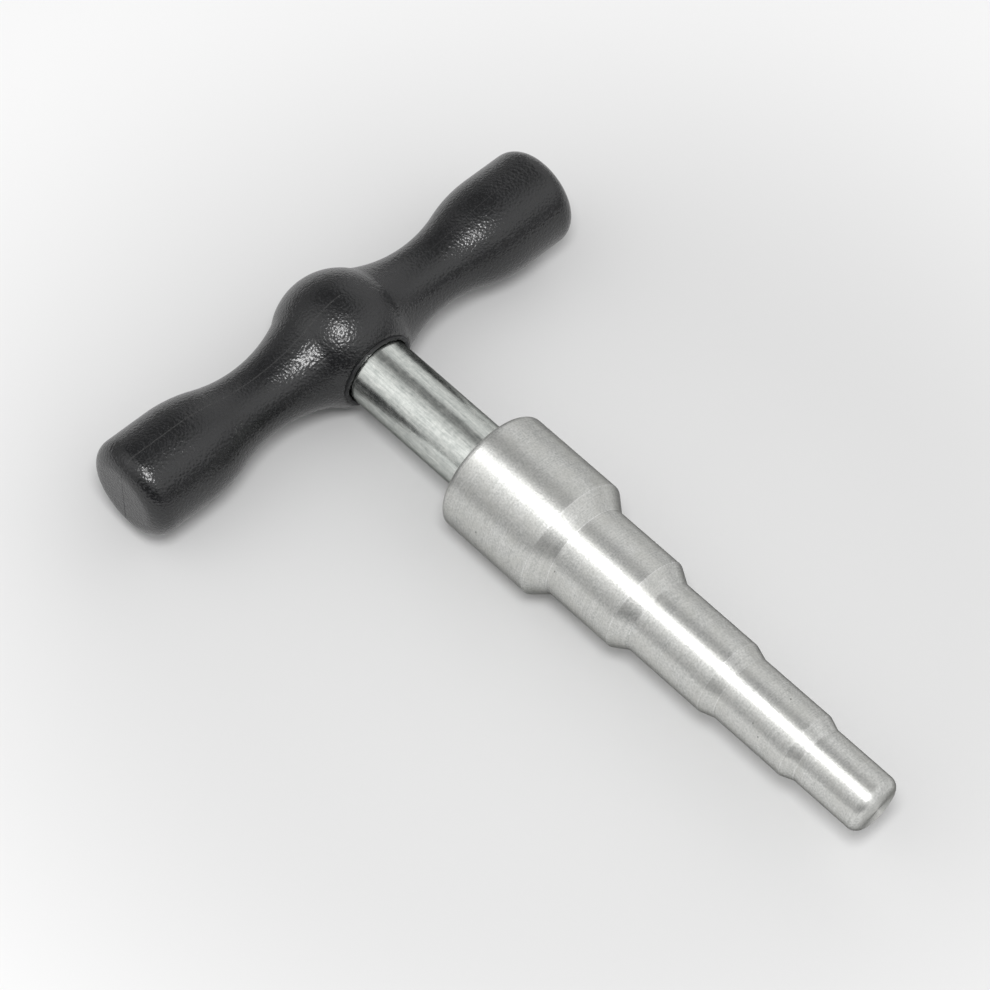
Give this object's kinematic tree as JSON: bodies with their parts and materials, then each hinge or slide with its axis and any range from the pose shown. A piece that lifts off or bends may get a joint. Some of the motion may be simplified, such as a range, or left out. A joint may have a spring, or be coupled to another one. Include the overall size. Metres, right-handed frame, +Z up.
{
  "type": "pipe expander",
  "caption": "T-handled stepped mandrel that rounds and sizes the ends of composite pipes, with one land for each pipe bore.",
  "frame": {"origin": "centre of the flat on the mandrel's nose", "axes": "+X along the shank and out of the nose, +Y along the handle, +Z up as the tool lies flat"},
  "size_m": [0.1546, 0.1098, 0.0272],
  "materials": {
    "turned_aluminium": "satin, fine turning marks",
    "zinc_plated_steel": "bright zinc plating",
    "brass": "machined, knurled",
    "handle_plastic": "fine moulded grain"
  },
  "bodies": {
    "root": {"stepped_mandrel": "turned_aluminium", "shank": "zinc_plated_steel", "handle_bush": "brass", "t_handle": "handle_plastic"}
  },
  "joints": []
}
